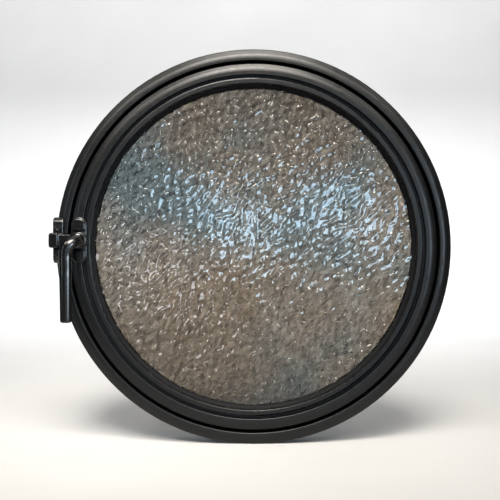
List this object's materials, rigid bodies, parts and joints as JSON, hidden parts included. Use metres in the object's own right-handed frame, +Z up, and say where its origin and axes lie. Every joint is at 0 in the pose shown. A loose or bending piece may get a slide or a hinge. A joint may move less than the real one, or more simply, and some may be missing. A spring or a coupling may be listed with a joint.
{
  "type": "porthole window",
  "caption": "Round side-hung window in a dark frame, with a ripple-glass pane, a hanging lever handle and its keeper, and an outside hinge.",
  "frame": {"origin": "on the window's axis, halfway through the fixed frame's depth", "axes": "+X to the right as seen from the room, +Y along the window's axis from the room to the outside, +Z up"},
  "size_m": [0.5045, 0.097, 0.5],
  "materials": {
    "black_frame": "satin black powder coat",
    "black_hardware": "satin black powder coat on zinc castings",
    "black_rubber": "matt",
    "ripple_glass": "rippled on the room side, clear",
    "steel": "satin",
    "black_screw": "blackened",
    "nylon": "smooth",
    "dark_plastic": "smooth",
    "bronze": "sintered"
  },
  "bodies": {
    "frame": {"frame_ring": "black_frame", "frame_seal": "black_rubber", "keeper_block": "black_hardware", "keeper_pad": "dark_plastic", "keeper_screws": "black_screw", "hinge_frame_leaf": "black_frame", "hinge_frame_screws": "steel", "hinge_pin": "steel", "hinge_washers": "nylon"},
    "sash": {"sash_ring": "black_frame", "sash_seal": "black_rubber", "glass_pane": "ripple_glass", "outer_gasket": "black_rubber", "inner_gasket": "black_rubber", "glazing_bead": "black_frame", "setting_blocks": "dark_plastic", "hinge_sash_leaf": "black_frame", "hinge_sash_screws": "steel", "handle_base": "black_hardware", "handle_bush": "bronze", "handle_screws": "steel", "handle_caps": "black_hardware"},
    "handle": {"handle_lever": "black_hardware", "handle_spindle": "steel", "handle_washer": "nylon", "handle_clip": "steel"}
  },
  "joints": [
    {"name": "sash_swing", "type": "hinge", "parent": "frame", "child": "sash", "pos_m": [0.2435, 0.0318, 0], "axis": [0, 0, -1], "range_deg": [0, 90]},
    {"name": "handle_turn", "type": "hinge", "parent": "sash", "child": "handle", "pos_m": [-0.2195, -0.0305, 0.009], "axis": [0, -1, 0], "range_deg": [0, 90]}
  ]
}
